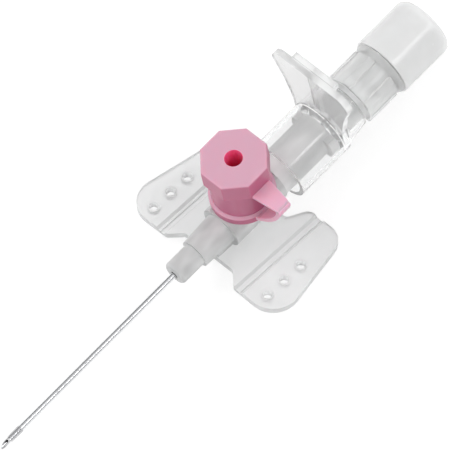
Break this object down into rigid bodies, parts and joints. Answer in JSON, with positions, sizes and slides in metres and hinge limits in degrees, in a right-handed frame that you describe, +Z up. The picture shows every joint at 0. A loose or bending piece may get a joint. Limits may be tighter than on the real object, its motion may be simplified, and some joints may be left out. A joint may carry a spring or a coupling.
{
  "type": "iv cannula",
  "caption": "Ported, winged peripheral IV cannula with introducer needle, hinged injection-port cap, clear finger grip, flash chamber and rear luer cap.",
  "frame": {"origin": "centre of the footprint, at the level of the lowest edge of the wings that the part rests on", "axes": "+X along the hub axis from the needle point to the rear cap, +Z up through the injection port, +Y to the left wing"},
  "size_m": [0.086, 0.0286, 0.0202],
  "materials": {
    "steel": "fine drawn stainless steel",
    "catheter": "smooth translucent fluoropolymer",
    "frosted": "frosted translucent polypropylene",
    "silicone": "soft translucent silicone",
    "pink": "satin opaque polyethylene",
    "clear": "clear polycarbonate",
    "filter": "sintered porous plastic",
    "cap_white": "frosted white polypropylene"
  },
  "bodies": {
    "hub": {"catheter_hub": "frosted", "catheter_tube": "catheter", "crimp_ferrule": "steel", "port_valve": "silicone"},
    "wing_left": {"wing_panel_left": "frosted"},
    "wing_right": {"wing_panel_right": "frosted"},
    "cap_collar": {"port_cap_collar": "pink"},
    "cap_lid": {"port_cap_lid": "pink"},
    "introducer": {"needle_cannula": "steel", "needle_hub": "clear", "flash_chamber": "clear", "vent_filter": "filter"},
    "luer_cap": {"rear_cap": "cap_white"}
  },
  "joints": [
    {"name": "needle_withdraw", "type": "slide", "parent": "hub", "child": "introducer", "axis": [1, 0, 0], "range_m": [0, 0.066]},
    {"name": "rear_cap_pull", "type": "slide", "parent": "introducer", "child": "luer_cap", "axis": [1, 0, 0], "range_m": [0, 0.012]},
    {"name": "port_collar_swivel", "type": "hinge", "parent": "hub", "child": "cap_collar", "pos_m": [0.00631, 0, 0.01], "axis": [0, 0, 1], "range_deg": [-225, 45]},
    {"name": "port_lid_hinge", "type": "hinge", "parent": "cap_collar", "child": "cap_lid", "pos_m": [0.00631, -0.00885, 0.01455], "axis": [1, 0, 0], "range_deg": [0, 115]},
    {"name": "wing_left_fold", "type": "hinge", "parent": "hub", "child": "wing_left", "pos_m": [0.00621, 0.0074, 0.00107], "axis": [0.9917, 0, -0.1288], "range_deg": [-20, 45], "stiffness_Nm_per_rad": 0.001},
    {"name": "wing_right_fold", "type": "hinge", "parent": "hub", "child": "wing_right", "pos_m": [0.00621, -0.0074, 0.00107], "axis": [-0.9917, 0, 0.1288], "range_deg": [-20, 45], "stiffness_Nm_per_rad": 0.001}
  ]
}
